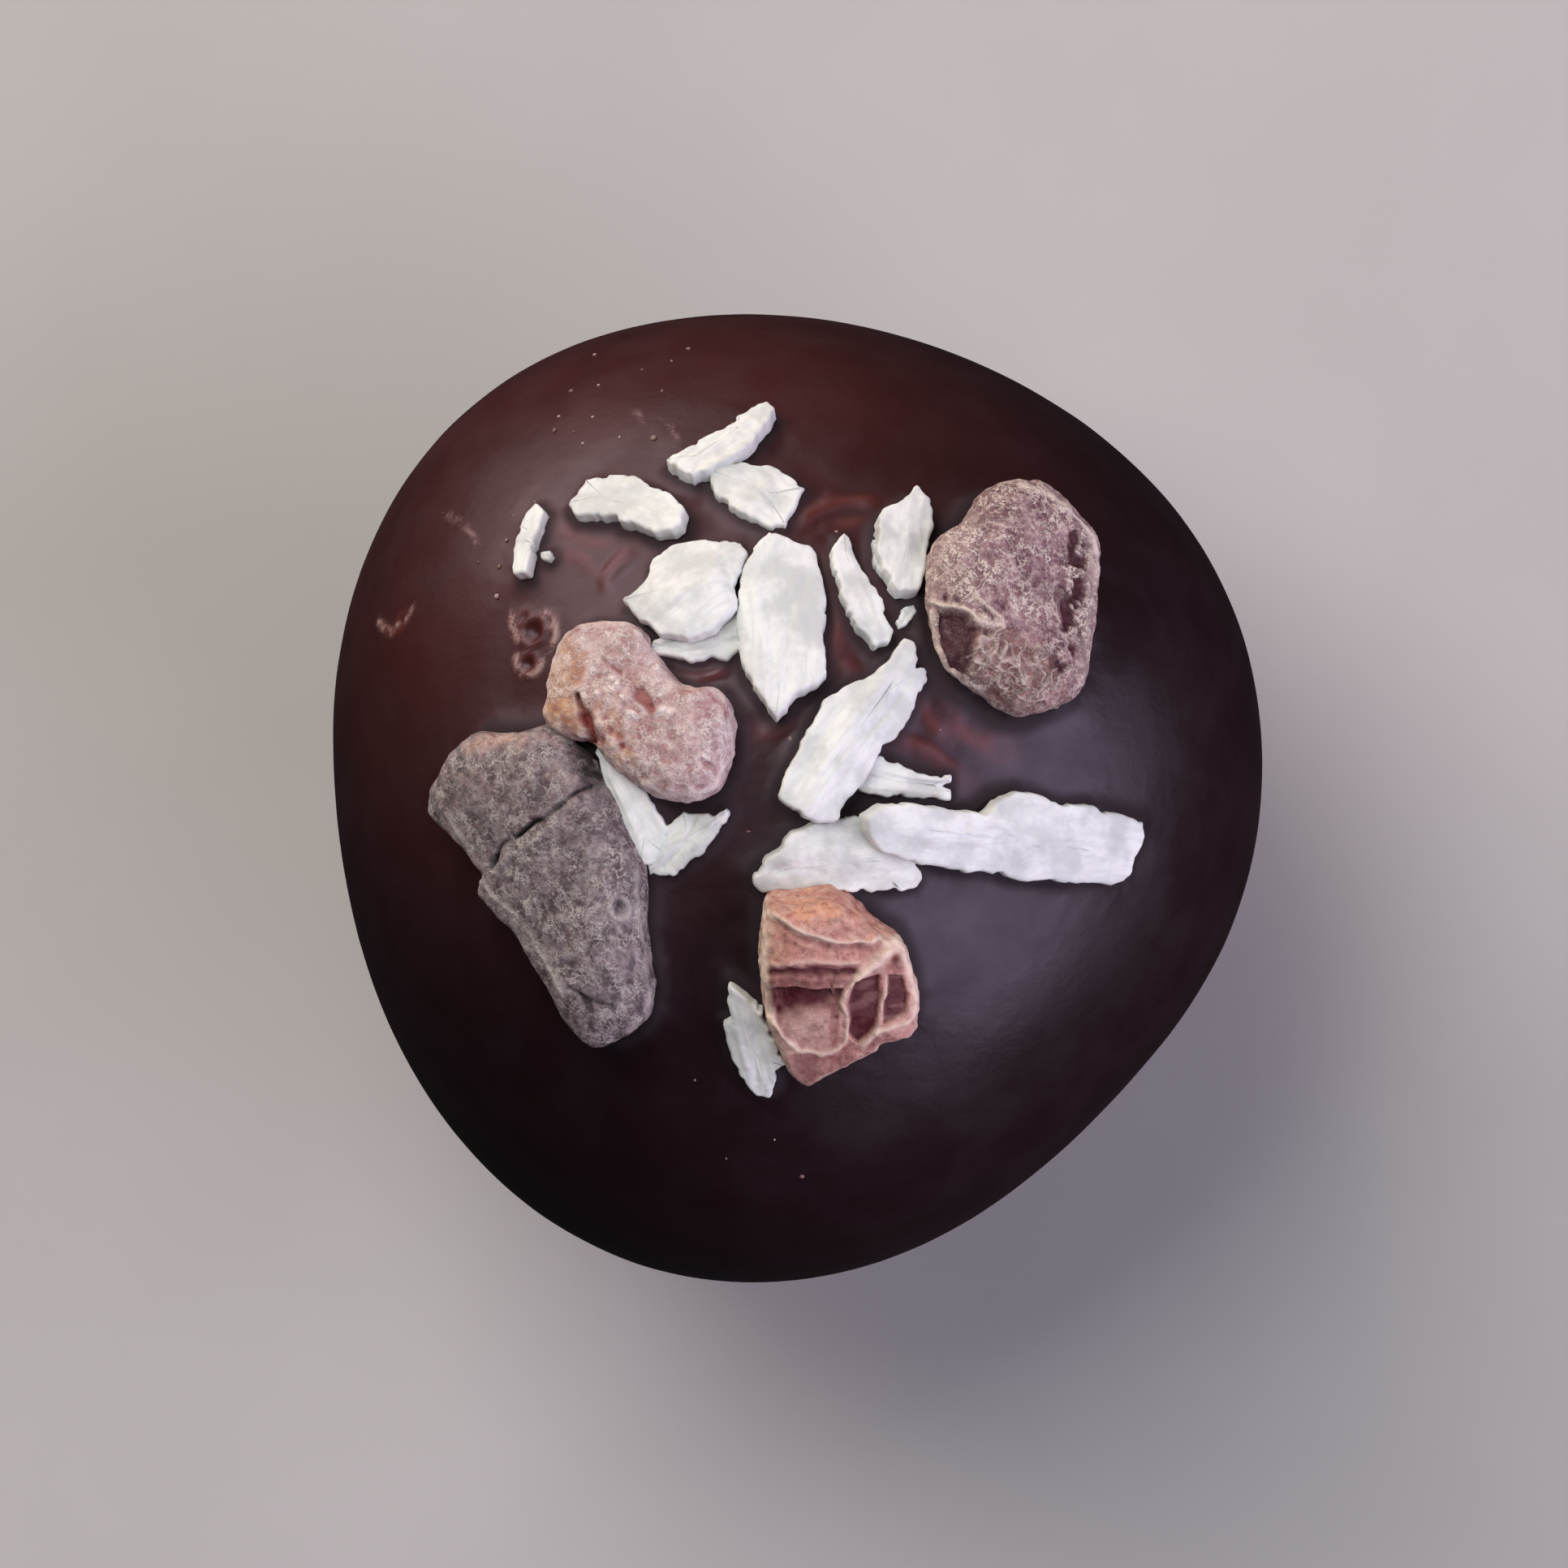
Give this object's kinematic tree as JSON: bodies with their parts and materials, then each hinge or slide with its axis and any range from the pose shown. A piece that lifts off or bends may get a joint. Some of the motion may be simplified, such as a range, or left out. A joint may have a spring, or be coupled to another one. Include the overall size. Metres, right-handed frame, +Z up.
{
  "type": "energy ball",
  "caption": "Round energy ball coated in dark chocolate, topped with cacao nibs and coconut flakes, resting on a small flat spot.",
  "frame": {"origin": "on the flat resting spot, under the middle of the ball's outline", "axes": "+Z up, with -Z into the surface it rests on; +X is to the right and +Y to the rear of the shown view, and the ball is a little narrower along X than along Y"},
  "size_m": [0.0352, 0.0371, 0.0366],
  "materials": {
    "dark_chocolate": "satin",
    "coconut": "matte",
    "mauve_nib": "matte",
    "grey_nib": "matte",
    "pink_nib": "matte",
    "amber_nib": "satin"
  },
  "bodies": {
    "root": {"energy_ball": "dark_chocolate", "nib_mauve_pebble": "mauve_nib", "nib_grey_club": "grey_nib", "nib_pink_kidney": "pink_nib", "nib_amber_shard": "amber_nib"}
  },
  "joints": []
}
